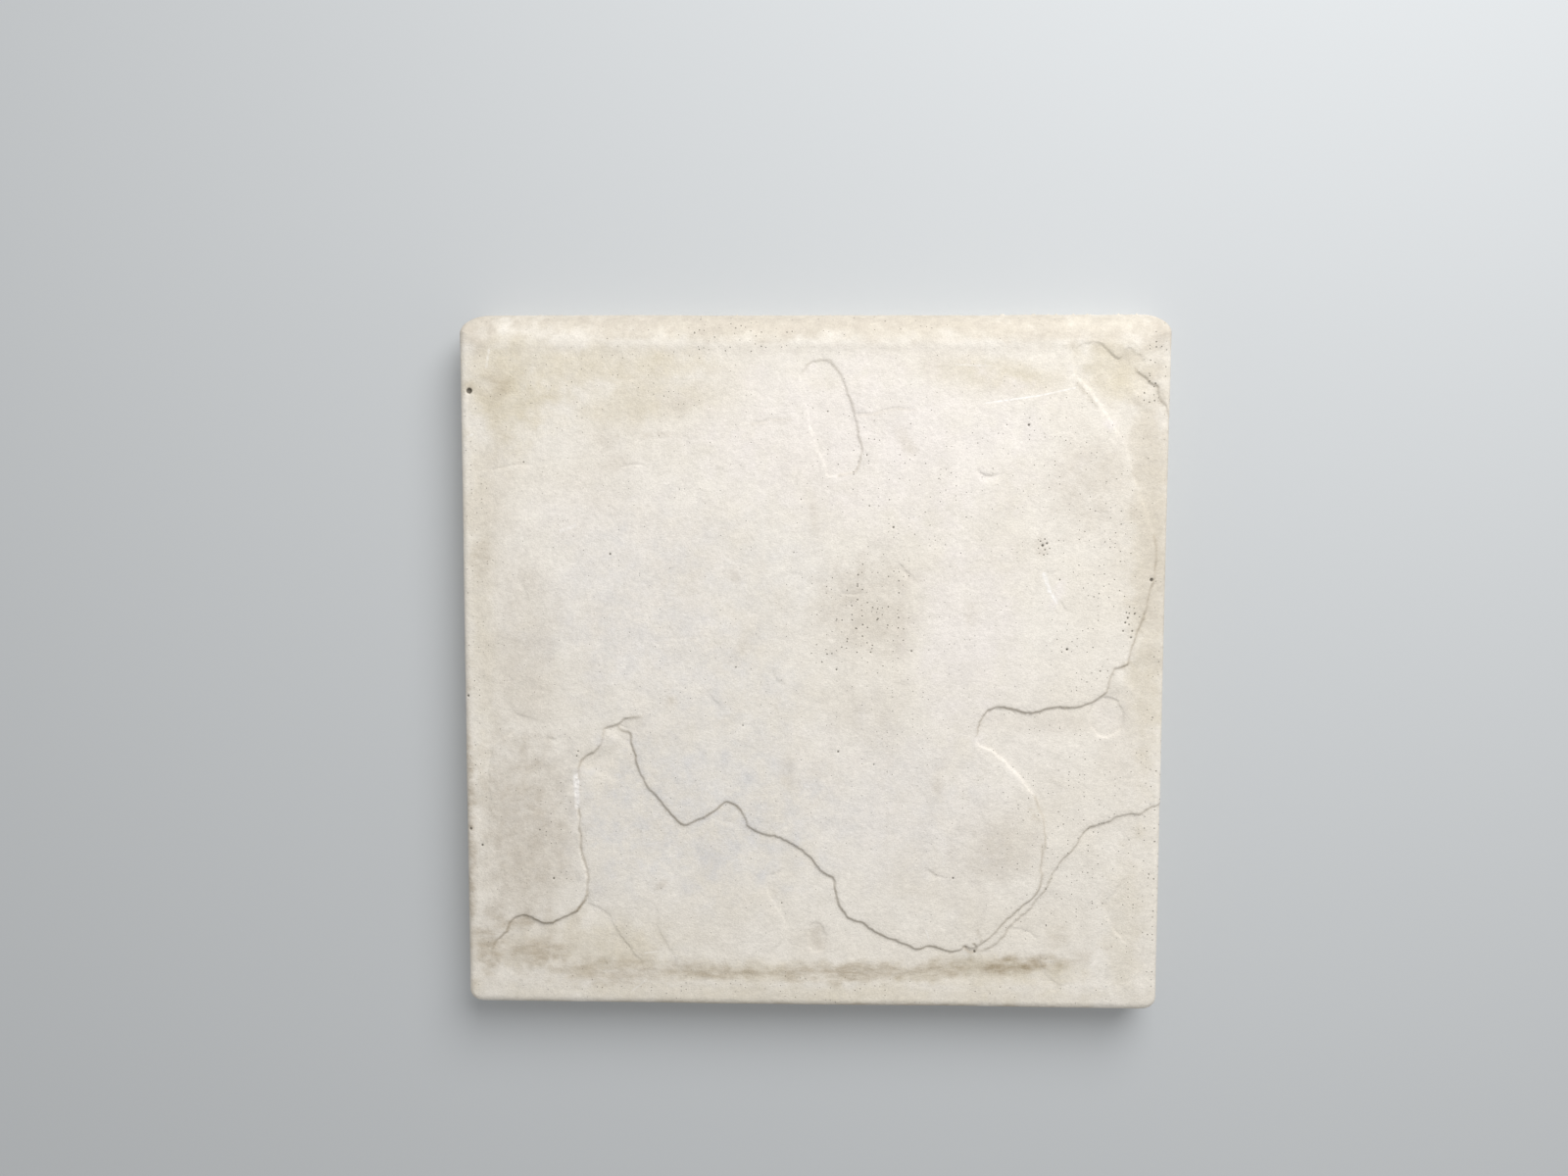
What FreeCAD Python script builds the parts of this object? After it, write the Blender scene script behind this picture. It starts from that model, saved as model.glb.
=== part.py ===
"""Pool coping stone: one slab of wet-cast concrete, 500 x 500 x 40 mm.

The slab was cast face down in one mould, so it is a single solid with no parts of its own.
It lies on its bedding face. The origin is the middle of that face, +Z is up through the walking
face, +Y points at the pool and X runs along the rounded nose that hangs over the water's edge.

The walls lean in a little towards the walking face, which is the draft that lets the stone out of
its mould. The nose is a quarter round on the +Y edge. At the two nose corners it turns with the
corner and dies away into the small arris that runs down both sides and along the back.
"""

import FreeCAD
import Part

import math
import os

import Sketcher
from FreeCAD import Vector

NODE = "coping_stone"
SIZES = {
    "stone_length": 500.0,  # along the nose, at the bedding face
    "stone_depth": 500.0,  # from the back edge to the nose, at the bedding face
    "stone_thickness": 40.0,
    "nose_radius": 25.0,  # quarter round along the pool edge
    "side_arris": 5.0,  # rounding of the two joint edges
    "back_arris": 7.0,  # rounding of the edge that meets the paving
    "foot_arris": 1.0,  # rounding all round the bedding face
    "nose_corner": 16.5,  # plan radius of the two corners at the nose
    "back_corner": 11.0,  # plan radius of the two corners at the back
    "draft_angle": 1.5,  # lean of the walls, in degrees
}
NEAR = 1e-4  # mm, for telling where an edge lies


def make_sheet(doc):
    """The driving dimensions, one row each: name, then value under an alias of that name."""
    sheet = doc.addObject("Spreadsheet::Sheet", "Sizes")
    for row, (name, value) in enumerate(SIZES.items(), start=1):
        sheet.set(f"A{row}", name)
        sheet.set(f"B{row}", str(value))
        sheet.setAlias(f"B{row}", name)
    doc.recompute()
    return sheet


def origin_plane(body, role):
    """One of the body's own three base planes."""
    return next(plane for plane in body.Origin.OriginFeatures if plane.Role == role)


def corner_arc(centre_x, centre_y, radius, start_deg):
    """A quarter circle about a point of the sketch, from start_deg round to 90 degrees more."""
    circle = Part.Circle(Vector(centre_x, centre_y, 0), Vector(0, 0, 1), radius)
    return Part.ArcOfCircle(circle, math.radians(start_deg), math.radians(start_deg + 90))


def draw_plan(body, sheet):
    """The outline of the bedding face: a rectangle with round corners, drawn anticlockwise.

    Lines and arcs alternate from the back edge round: back, right, nose, left.
    """
    sketch = body.newObject("Sketcher::SketchObject", "Plan")
    sketch.AttachmentSupport = [(origin_plane(body, "XY_Plane"), "")]
    sketch.MapMode = "FlatFace"

    half_x = sheet.stone_length / 2
    half_y = sheet.stone_depth / 2
    back = sheet.back_corner
    nose = sheet.nose_corner
    outline = [
        Part.LineSegment(Vector(back - half_x, -half_y, 0), Vector(half_x - back, -half_y, 0)),
        corner_arc(half_x - back, back - half_y, back, 270),
        Part.LineSegment(Vector(half_x, back - half_y, 0), Vector(half_x, half_y - nose, 0)),
        corner_arc(half_x - nose, half_y - nose, nose, 0),
        Part.LineSegment(Vector(half_x - nose, half_y, 0), Vector(nose - half_x, half_y, 0)),
        corner_arc(nose - half_x, half_y - nose, nose, 90),
        Part.LineSegment(Vector(-half_x, half_y - nose, 0), Vector(-half_x, back - half_y, 0)),
        corner_arc(back - half_x, back - half_y, back, 180),
    ]
    for piece in outline:
        sketch.addGeometry(piece, False)

    start, end = 1, 2
    for index in range(len(outline)):
        following = (index + 1) % len(outline)
        sketch.addConstraint(Sketcher.Constraint("Tangent", index, end, following, start))
    back_edge, back_arc, right_edge, nose_arc, nose_edge, nose_arc_2, left_edge, back_arc_2 = range(8)
    sketch.addConstraint(Sketcher.Constraint("Horizontal", back_edge))
    sketch.addConstraint(Sketcher.Constraint("Vertical", right_edge))
    sketch.addConstraint(Sketcher.Constraint("Equal", back_arc, back_arc_2))
    sketch.addConstraint(Sketcher.Constraint("Equal", nose_arc, nose_arc_2))
    dimensions = [
        ("DistanceY", (-1, 1, nose_edge, start), half_y, "stone_depth / 2"),
        ("DistanceY", (back_edge, start, -1, 1), half_y, "stone_depth / 2"),
        ("DistanceX", (-1, 1, right_edge, start), half_x, "stone_length / 2"),
        ("DistanceX", (left_edge, start, -1, 1), half_x, "stone_length / 2"),
        ("Radius", (back_arc,), back, "back_corner"),
        ("Radius", (nose_arc,), nose, "nose_corner"),
    ]
    for kind, where, value, formula in dimensions:
        number = sketch.addConstraint(Sketcher.Constraint(kind, *where, value))
        for alias in SIZES:
            formula = formula.replace(alias, f"Sizes.{alias}")
        sketch.setExpression(f"Constraints[{number}]", formula)
    return sketch


def raise_walls(body, sketch):
    """The plan raised to the walking face, with its walls leaning in by the draft."""
    pad = body.newObject("PartDesign::Pad", "Walls")
    pad.Profile = sketch
    pad.setExpression("Length", "Sizes.stone_thickness")
    pad.setExpression("TaperAngle", "-Sizes.draft_angle")
    return pad


def round_foot(body, doc):
    """The small rounding all round the bedding face."""
    walls = body.Tip
    foot = [
        f"Edge{number}"
        for number, edge in enumerate(walls.Shape.Edges, start=1)
        if edge.BoundBox.ZMax < NEAR
    ]
    fillet = body.newObject("PartDesign::Fillet", "Foot")
    fillet.Base = (walls, foot)
    fillet.setExpression("Radius", "Sizes.foot_arris")
    doc.recompute()
    return fillet


def round_top(doc, body, sheet):
    """The nose and the arrises, as one run of rounding round the walking face.

    The nose's radius is whole along the pool edge and falls to the arris over each nose corner.
    """
    top = [
        (number, edge)
        for number, edge in enumerate(body.Shape.Edges, start=1)
        if edge.BoundBox.ZMin > sheet.stone_thickness - NEAR
    ]
    straight = [edge for _, edge in top if isinstance(edge.Curve, Part.Line)]
    nose_y = max(edge.CenterOfMass.y for edge in straight)
    back_y = min(edge.CenterOfMass.y for edge in straight)

    def radius_at(point):
        if point.y > nose_y - NEAR:
            return sheet.nose_radius
        if point.y < back_y + NEAR:
            return sheet.back_arris
        return sheet.side_arris

    fillet = doc.addObject("Part::Fillet", NODE)
    fillet.Base = body
    fillet.Edges = [
        (number, radius_at(edge.valueAt(edge.FirstParameter)), radius_at(edge.valueAt(edge.LastParameter)))
        for number, edge in top
    ]
    fillet.Label = NODE
    fillet.Placement = FreeCAD.Placement()
    return fillet


def check(doc, part):
    """Stops before anything is written if an object failed or the stone isn't one good solid."""
    for item in doc.Objects:
        if "Invalid" in item.State or "Error" in item.State:
            raise RuntimeError(f"{item.Label} failed: {item.State}")
    shape = part.Shape
    if shape.isNull() or not shape.isValid() or len(shape.Solids) != 1:
        raise RuntimeError(f"{part.Label} isn't one valid solid")


def main():
    doc = FreeCAD.newDocument("CopingStone")
    sheet = make_sheet(doc)
    body = doc.addObject("PartDesign::Body", "Slab")
    sketch = draw_plan(body, sheet)
    raise_walls(body, sketch)
    doc.recompute()
    round_foot(body, doc)
    stone = round_top(doc, body, sheet)
    doc.recompute()
    check(doc, stone)
    os.makedirs("parts", exist_ok=True)
    stone.Shape.exportStep(os.path.join("parts", f"{stone.Label}.step"))
    box = stone.Shape.optimalBoundingBox()
    print(f"{stone.Label}: {stone.Shape.Volume / 1e6:.3f} litres, {box}")


main()
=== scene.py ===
"""Pool coping stone: the looks of one slab of wet-cast concrete.

The walking face was cast against a mould taken from split rock, so it is a riven face: a high
plateau, lower ground that breaks away from it in small cliffs one or two millimetres tall, a few
shallow hollows, and a low hem all round. The relief is worked out on a fine raster over the face
and cut down into a copy of the slab. Stains, bloom and pores are painted on the same mesh, and so
is painted shade: along the foot of the breaks, in the cracks and on the nose.
"""

import math

import bpy
import numpy as np
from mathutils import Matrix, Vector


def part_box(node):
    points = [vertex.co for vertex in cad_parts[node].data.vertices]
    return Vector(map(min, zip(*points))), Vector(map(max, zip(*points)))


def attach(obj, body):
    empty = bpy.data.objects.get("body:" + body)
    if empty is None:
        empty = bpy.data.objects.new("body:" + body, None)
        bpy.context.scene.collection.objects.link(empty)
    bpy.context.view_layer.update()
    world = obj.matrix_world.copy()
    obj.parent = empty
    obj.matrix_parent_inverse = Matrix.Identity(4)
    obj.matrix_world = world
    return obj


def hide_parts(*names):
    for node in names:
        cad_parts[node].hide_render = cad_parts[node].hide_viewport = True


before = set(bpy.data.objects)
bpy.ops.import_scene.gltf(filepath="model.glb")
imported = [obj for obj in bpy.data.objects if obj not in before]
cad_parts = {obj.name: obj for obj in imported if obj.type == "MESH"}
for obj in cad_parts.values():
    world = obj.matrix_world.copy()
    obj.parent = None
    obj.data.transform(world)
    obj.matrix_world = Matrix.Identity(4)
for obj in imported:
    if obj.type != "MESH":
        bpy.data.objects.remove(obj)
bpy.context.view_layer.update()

NODE = "coping_stone"
MM = 0.001
LOW_CORNER, HIGH_CORNER = (np.array(corner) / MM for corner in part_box(NODE))

VOXEL = 0.8  # mm, size of the cubes that the slab is remeshed in before it is cut
FACES_KEPT = 188000  # triangles left after thinning
CELL = 0.5  # mm, spacing of the raster
PATH_STEP = 1.5  # mm between the points of a smoothed line
HALF_FACE = 250.0  # mm, the raster reaches this far each way from the middle

# ---------------------------------------------------------------------------------------------
# The breaks in the face. Each line is points in mm: x, y and how far the face drops beyond it.
# The low side is on the right hand, going along the line.
# ---------------------------------------------------------------------------------------------

# The long cliff under the plateau, from the tongue at the left to the lower right.
LONG_BREAK = [
    (-139, -43, 0.0), (-135, -47.5, 0.6), (-129.5, -49.5, 1.0), (-128.5, -56, 1.3),
    (-125.6, -63, 1.5), (-124, -71, 1.5), (-121, -80, 1.6), (-116, -89, 1.7),
    (-110, -95.5, 1.8), (-101, -107, 1.8), (-93.5, -114, 1.8), (-89.5, -115, 1.8),
    (-81, -111, 1.8), (-73, -106.5, 1.7), (-66.5, -102, 1.7), (-62, -98, 1.6),
    (-58, -98.5, 1.5), (-53.5, -101, 1.3), (-50, -105, 1.2), (-46.5, -111, 1.0),
    (-44.5, -116, 1.4), (-40, -119.5, 1.7), (-32.5, -122, 1.9), (-26.5, -122.6, 1.9),
    (-19.5, -124.6, 2.0), (-13.5, -128, 2.0), (-6, -133, 2.0), (1, -140.3, 2.0),
    (8.5, -148.4, 2.0), (16, -153.5, 1.8), (18, -162.4, 1.6), (21, -172.6, 1.9),
    (26, -180.7, 2.0), (32, -184.7, 2.0), (38, -186, 2.0), (45, -191, 2.0),
    (54, -196.2, 2.0), (63, -199.1, 1.9), (72, -203.2, 1.9), (77.5, -204.6, 1.9),
    (82, -202.1, 1.8), (88, -201.8, 1.8), (94, -204.3, 1.8), (100, -206.2, 1.8),
    (106.5, -205.3, 1.7), (111, -202.4, 1.5), (115.3, -203.5, 1.2), (119, -203, 1.0),
    (122.6, -199.9, 1.0), (130, -194, 1.1), (138.8, -184.4, 1.2), (144.7, -178.2, 1.5),
    (152, -171.2, 1.6), (158, -167.9, 1.7), (161.6, -162.4, 1.7), (164.6, -153.5, 1.2),
    (163.8, -144.7, 0.8), (164.6, -136, 0.4), (164, -128, 0.0),
]
# The cliff above the lower right corner.
CORNER_BREAK = [
    (121, -206, 0.0), (125, -205, 0.4), (131.5, -201.3, 0.8), (138.8, -193.2, 1.0),
    (144.7, -186, 1.0), (150.6, -180, 1.0), (158, -173.4, 1.1), (165.3, -163.8, 1.1),
    (170.4, -155, 1.1), (172.6, -147.6, 1.1), (177.8, -139.6, 1.2), (183, -133.7, 1.1),
    (189.6, -125.6, 1.4), (192, -121.2, 1.8), (197.6, -115.3, 2.0), (205, -112.4, 1.9),
    (211, -110.6, 1.7), (218, -106.5, 1.4), (225.6, -103.8, 1.3), (233, -104, 1.3),
    (240, -100, 1.1), (250, -97.5, 0.9),
]
# Round the hollow ground at the right, up the right edge and over the top right corner.
RIGHT_BREAK = [
    (166.5, -130, 0.0), (166.5, -122, 0.8), (165, -112, 1.2), (161.5, -102, 1.4),
    (159, -94, 1.6), (153.5, -86.6, 1.8), (147.5, -80, 2.0), (139, -70.5, 2.1),
    (131.5, -63.8, 2.0), (125.5, -59.5, 1.8), (120, -57.6, 1.3), (116.6, -53, 1.0),
    (116.6, -47.5, 1.3), (118, -41, 1.8), (121.9, -34.5, 1.9), (125.5, -30.5, 1.9),
    (131, -28.8, 2.0), (139, -28.8, 2.0), (146, -30.6, 2.0), (153.5, -31.6, 2.0),
    (160, -31.3, 2.0), (167, -29.1, 2.0), (174, -27.9, 2.0), (183, -28.1, 2.0),
    (190.3, -27.6, 1.9), (197.6, -25, 1.8), (203, -21.3, 1.7), (207, -18.1, 1.4),
    (208.7, -12.2, 0.8), (211, -5.6, 0.7), (213.8, 0, 0.9), (219, 1.2, 1.4),
    (222.6, 2.5, 1.4), (223.4, 7.6, 1.0), (225, 15, 0.8), (227.8, 23.8, 0.8),
    (230.7, 30.4, 0.9), (233.7, 40, 1.0), (236, 50.3, 1.0), (238.1, 60, 0.9),
    (240, 72, 0.8), (240.3, 83, 0.8), (239, 92, 0.8), (236.6, 98, 0.9),
    (233, 106.5, 0.7), (229.3, 116.8, 0.9), (225.6, 128.5, 1.0), (221.2, 140.3, 0.8),
    (216.8, 155, 0.7), (212.4, 163.8, 0.8), (207, 172, 1.0), (202, 180, 1.1),
    (197, 186.6, 1.3), (192, 194, 1.3), (186, 200, 1.2), (181.5, 205, 0.9),
    (180, 213, 0.5), (181.5, 221, 0.6), (184, 225, 0.7), (189, 227, 0.8),
    (196.2, 227.6, 0.8), (200.6, 226, 0.9), (204.5, 222.5, 1.2), (208, 219.6, 1.4),
    (211, 216.8, 1.6), (213.8, 217.8, 1.3), (215, 222, 0.6), (219, 223.8, 0.6),
    (224, 220.4, 0.7), (228.5, 216.8, 0.8), (231, 211, 0.4), (234, 206, 0.0),
]
# The plateau's left part: from the lower left corner, up the crack, to the top of the tongue.
LEFT_BREAK = [
    (-236, -229, 0.0), (-234.5, -216, 0.3), (-231.5, -208, 0.6), (-228.5, -202, 1.0),
    (-222, -195.4, 1.8), (-218.2, -188.1, 1.9), (-211, -183, 2.0), (-205, -182.9, 2.2),
    (-197.6, -187.4, 2.7), (-190.3, -189.1, 2.9), (-180, -184.7, 2.8), (-171.2, -180, 2.8),
    (-164.8, -172.6, 2.5), (-163, -165.3, 1.4), (-162.4, -158, 0.8), (-163.8, -144.7, 0.4),
    (-166, -134.4, 0.3), (-167, -122.6, 0.3), (-167.2, -110, 0.3), (-168.2, -93, 0.3),
    (-168.2, -83.5, 0.4), (-167.5, -74, 1.5), (-163.8, -68.1, 2.2), (-156.5, -62.2, 2.2),
    (-151.3, -55.6, 1.4), (-150.2, -50, 0.9), (-149.5, -46.5, 1.4), (-144, -43.8, 1.8),
    (-138.8, -41.6, 1.9), (-133, -38.2, 1.6), (-127, -37.5, 1.0), (-122, -36.5, 0.0),
]
# Torn edge in the top right corner, beside the end of the right break.
TORN_CORNER = [
    (224.5, 208.5, 0.0), (226.3, 206.5, 1.0), (230, 203.5, 1.3), (235.9, 199, 1.5),
    (239.6, 196.9, 1.3), (241, 191.8, 1.1), (244.7, 184.4, 0.9), (249, 176, 0.6),
]
# Faint breaks: as above, with the same hand rule.
FAINT_BREAKS = [
    # left hem, seen from the plateau
    [(-204, -42, 0.0), (-213, -49, 0.5), (-220.4, -54, 0.6), (-227.8, -59.3, 0.5),
     (-229.5, -66, 0.4), (-230.5, -79, 0.35), (-231, -104, 0.25), (-231, -130, 0.0)],
    [(-218, -25, 0.0), (-211, -35, 0.3), (-205, -37.2, 0.35), (-196, -40, 0.2), (-190, -41, 0.0)],
    [(-186, -23, 0.0), (-191.8, -21, 0.25), (-200.6, -18, 0.25), (-206, -17, 0.0)],
    [(-197, 82, 0.0), (-201, 74, 0.2), (-204, 62, 0.3), (-202, 51, 0.25), (-199, 44, 0.0)],
    # below the foot of the crack
    [(-164, -173, 0.0), (-155, -176.3, 0.5), (-146.2, -181.5, 0.45), (-141, -189.6, 0.4),
     (-137.4, -197, 0.6), (-132.2, -202.8, 0.6), (-127.8, -210, 0.5), (-122.6, -214.6, 0.3),
     (-118, -221, 0.0)],
    [(-166, -224, 0.0), (-158, -211.6, 0.3), (-152.8, -205, 0.3), (-149.1, -197.4, 0.25),
     (-141, -196, 0.2), (-137, -198, 0.0)],
    [(-228, -226, 0.0), (-226, -217, 0.4), (-222.6, -205.7, 0.4), (-215.3, -194.7, 0.3),
     (-209, -189, 0.0)],
    [(-111, -168, 0.0), (-110.3, -180, 0.25), (-109, -192, 0.3), (-103.5, -203.5, 0.35),
     (-98.4, -211, 0.3), (-95, -222, 0.2), (-92, -232, 0.0)],
    # second strand inside the tongue
    [(-160, -70, 0.0), (-156.5, -68.1, 0.4), (-152, -65.1, 0.45), (-145.4, -58.5, 0.4),
     (-142, -54, 0.0)],
    # in the low ground along the back edge
    [(-30, -214, 0.0), (-29, -211, 0.35), (-26.8, -205, 0.45), (-21.6, -200.6, 0.45),
     (-19.4, -196, 0.35), (-19.4, -187.4, 0.35), (-23.8, -177.8, 0.4), (-27.5, -172.6, 0.4),
     (-31.9, -163.8, 0.4), (-34, -158, 0.0)],
    [(-31, -151, 0.0), (-29, -150.6, 0.5), (-22.4, -148.4, 0.7), (-20, -144, 0.5), (-19, -141, 0.0)],
    [(-64, -109, 0.0), (-60, -112.5, 0.5), (-56, -111, 0.4), (-54, -109, 0.0)],
    # round the lower right corner
    [(142, -187, 0.0), (146.9, -188.5, 0.35), (153.5, -189.6, 0.4), (160.1, -192.9, 0.35),
     (164, -197, 0.2), (167, -204, 0.0)],
    [(165, -207, 0.0), (166, -213, 0.2), (169.7, -221.9, 0.25), (175.6, -227, 0.25),
     (181.5, -229.3, 0.25), (189, -227, 0.0)],
    [(227, -203, 0.0), (223.4, -197.6, 0.4), (217.5, -191.8, 0.45), (213, -183, 0.45),
     (210.1, -177, 0.4), (211.6, -168, 0.45), (216.8, -160, 0.4), (221.9, -153.5, 0.35),
     (226, -149, 0.0)],
    [(101, -223, 0.0), (104.3, -218.2, 0.4), (109.4, -210, 0.5), (113, -206, 0.0)],
    # short splits on the plateau
    [(-190, -50, 0.0), (-187.4, -52.2, 0.6), (-184.4, -53.4, 0.8), (-180, -51, 0.4), (-178, -49, 0.0)],
    [(117, 141, 0.0), (118.4, 138, 1.1), (122, 135.4, 1.4), (126.5, 135, 1.2), (129.6, 137, 0.6),
     (130, 139.5, 0.0)],
    [(82, -143, 0.0), (84.4, -146.2, 0.8), (88.8, -149.1, 0.8), (94.7, -151.3, 0.6), (99, -152, 0.0)],
    [(60, 74, 0.0), (62.7, 72, 0.6), (67, 68, 0.8), (72, 63, 0.5), (76, 60, 0.0)],
    [(-28, -1, 0.0), (-26.5, -4, 0.5), (-24, -9, 0.6), (-20, -12, 0.4), (-18, -13, 0.0)],
    [(-77, -15, 0.0), (-74, -18, 0.4), (-70, -22, 0.5), (-65, -29, 0.4), (-61, -31, 0.0)],
    [(-18, 68, 0.0), (-14, 67, 0.3), (-8, 65.5, 0.35), (-2, 60, 0.3), (0, 57, 0.0)],
    [(174, 48, 0.0), (175.6, 46, 0.7), (178, 43, 0.7), (181, 40.5, 0.5), (183, 39, 0.0)],
]
# Long shallow hollow near the nose, drawn clockwise so that its inside is on the right hand.
FINGER_HOLLOW = [
    (-9.4, 202.1, 0.4), (-7.6, 207.9, 0.6), (-4.7, 212.4, 0.8), (-0.3, 214.9, 0.9),
    (10, 215.3, 0.9), (14.4, 212.4, 0.9), (19.6, 206.5, 0.8), (22.5, 200.6, 0.8),
    (25.4, 191.8, 0.9), (29.1, 182.9, 1.0), (31.3, 174.1, 1.0), (32.4, 163.8, 1.0),
    (35.7, 153.5, 1.1), (34.3, 144.7, 0.9), (30.6, 137.4, 0.9), (26.2, 135.6, 1.0),
    (18.8, 133.7, 1.1), (12.9, 132.2, 1.1), (8.5, 135.1, 0.9), (8.2, 141.8, 0.9),
    (4.1, 149.1, 1.0), (1.2, 156.5, 0.8), (-1, 163.8, 0.8), (-3.2, 171.2, 0.7),
    (-4, 178.5, 0.6), (-6.9, 185.9, 0.5), (-9.4, 194.7, 0.4),
]
# Fine cracks: x, y and how deep the crack is there.
CRACKS = [
    [(-162.8, -170, 0.4), (-162.2, -163, 1.0), (-162.2, -155, 1.0), (-163.6, -145, 0.8),
     (-165.2, -139, 0.7), (-166, -134.4, 1.1), (-166.6, -129, 0.5), (-167, -122.6, 1.0),
     (-167.4, -116, 0.5), (-167.2, -110, 1.1), (-167.8, -104, 0.9), (-168.2, -98, 0.5),
     (-168.2, -84, 0.4), (-167.8, -78, 0.6)],
    [(31, 177.6, 0.7), (42.4, 178.2, 0.4), (49.7, 180, 0.5), (58.5, 182.2, 0.5), (70, 180.5, 0.2)],
    [(-41, 171.6, 0.2), (-34, 172.6, 0.6), (-26.8, 173.4, 0.3), (-16, 173.8, 0.1)],
    [(-232, 137.5, 0.1), (-222, 139.5, 0.4), (-206, 142, 0.3), (-196, 141, 0.1)],
    [(-135, 140.8, 0.1), (-128, 141.2, 0.4), (-122, 141.8, 0.4), (-116, 140, 0.1)],
    [(111, -203, 0.8), (115, -207, 1.2), (119, -205, 1.0), (117, -201.5, 0.7)],
    [(-131, -46, 0.2), (-136, -44.8, 0.5), (-139, -42.5, 0.4)],
    [(36, 52, 0.2), (30, 50.6, 0.5), (24, 50.8, 0.4), (19, 52, 0.1)],
]
# Painted shade and dirt along the foot of a break or in a crack: the line and how dark it is.
CREASE_SHADE_AND_DIRT = [
    (LONG_BREAK[:46], 0.6), (LONG_BREAK[46:], 0.5), (CORNER_BREAK, 0.4),
    (RIGHT_BREAK[12:29], 0.55), (RIGHT_BREAK[28:43], 0.6), (LEFT_BREAK[2:14], 0.9),
    (LEFT_BREAK[19:], 0.45), (CRACKS[0][:11], 0.5), (CRACKS[1], 0.3), (CRACKS[2], 0.25),
    (TORN_CORNER, 0.4), (FINGER_HOLLOW[1:17], 0.3), (CRACKS[5], 0.8), (RIGHT_BREAK[:5], 0.5),
    ([(184, 200, 0), (189, 194, 0), (194, 188, 0), (198, 183, 0)], 0.4),
    ([(157, -102, 0), (159.5, -106, 0), (162, -109, 0)], 0.5),
    ([(120, -189, 0), (121.5, -193, 0), (123, -198, 0)], 0.45),
]
RING_HOLLOWS = [  # centre x, y, half width along x, along y, drop
    (209, -36, 13, 15, 1.0),
    (4, -198, 7.5, 12, 0.8),
]
# Bug holes that air left in the face: x, y, radius.
BUG_HOLES = [
    (238, 62.2, 1.3), (150.6, 170.1, 0.9), (-204, 143.8, 0.6), (-143.2, 79, 0.8), (-13, 80.6, 0.5),
    (-242, 193.6, 2.1), (88.4, 132.6, 0.5), (180, 12.8, 0.9), (203.5, -2.6, 0.6), (174, 62, 0.6),
    (57, 98.5, 0.8), (40, 113.5, 0.6), (-8, 118, 0.5), (10.5, 179.4, 0.6), (38, 149, 0.6),
    (-54, -1.2, 0.6), (-49, -43, 0.6), (19, -61.5, 0.8), (44.5, -70.5, 0.6), (70.5, 11, 0.7),
    (17.5, -2.5, 0.7), (28, 43, 0.6), (101.8, -152.6, 0.8), (135.4, 170.1, 0.5), (107.9, 105.7, 0.5),
    (-21, -172.5, 0.6), (-245.6, -119.8, 1.0), (-237.3, -131.6, 0.9), (-195.5, -120, 0.6),
    (-185.8, -155.7, 0.8), (221, 39, 0.6), (222, 35.3, 0.8), (227, 38.5, 0.6), (220.4, 31.9, 0.8),
    (219, 26, 0.7), (225.3, 26, 0.7), (224.6, 21.5, 0.7), (161.5, 86, 1.0), (164.5, 87.5, 0.8),
    (162.5, 79.5, 0.6), (158.6, 84, 0.5), (163, 90.5, 0.6), (166.5, 84, 0.5), (160, 89, 0.6),
    (165, 80, 0.5), (159.5, 80.5, 0.4), (163.2, 83, 0.6), (168.5, -160.7, 0.6),
    (118, -206.8, 0.9), (-246, -23, 0.9),
    (-168.3, -66, 0.6), (-167.3, -62.6, 0.6), (41.6, 10, 0.6), (31, 27, 0.6), (46, 33, 0.6),
]
# Lime bloom standing in beads along the crack: x, y, radius.
LIME_BEADS = [
    (-168.6, -82.5, 1.1), (-170.3, -84.3, 0.8), (-167.6, -86.2, 1.0), (-169.2, -89.0, 1.1),
    (-168.0, -92.4, 0.9), (-169.6, -95.2, 1.0), (-167.8, -97.0, 0.7), (-168.6, -100.5, 0.7),
    (-171.4, -85.6, 0.6), (-166.6, -83.6, 0.6),
]
# Cement crumbs on the nose: from x, to x, how many, usual radius.
CRUMB_RUNS = [(128, 228, 34, 1.15), (-212, -150, 10, 0.7), (-60, 60, 6, 0.6)]

FACE_DROP = 0.12  # mm, least depth of the finished face below the flat of the slab
HEM_DROP = 0.4  # mm, how far the face lies below the hems along the nose and the back
HEM_NOSE = 26.5  # mm in from the nose, the middle of the slope off the hem
HEM_BACK = 22.0  # mm in from the back edge, the same
HEM_SLOPE = 8.0  # mm, width of that slope
FAINT_SHARE = 1.5  # scales the drops of the faint breaks
SHORT_SHARE = 0.9  # the same for those under 30 mm long
SHOULDER = 3.0  # mm, how far back from a cliff the high ground starts to roll over
SHOULDER_SHARE = 0.12  # of a cliff's drop, taken by that shoulder
LONG_WAVE = 0.16  # mm, rise and fall of the slow waves over the face
SHORT_WAVE = 0.05  # mm, the same for the waves about a thumb wide
FINE_WAVE = 0.02  # mm, the same for the waves 5 mm across
WALL_WAVE = 0.35  # mm, how far the cast walls wander in from flat
NOSE_WAVE = 0.75  # mm, the same along the nose
NOSE_FROM = 236.0  # mm of y, where the nose starts to wander more than the walls
NOSE_BLEND = 8.0  # mm over which that grows to its full amount
PIN_HOLE_STEP = 3.6  # mm between the places where a pin hole may lie
LIFT_FROM, LIFT_TO = 10.0, 34.0  # mm of height over which the relief fades out down the edges

# ---------------------------------------------------------------------------------------------
# Tints, each stroke: x, y, half width along the stroke, half width across, turn in degrees,
# strength. Each list is one stain.
# The list of grey strokes where the paste is denser also holds painted shade on the nose.
# ---------------------------------------------------------------------------------------------

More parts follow.
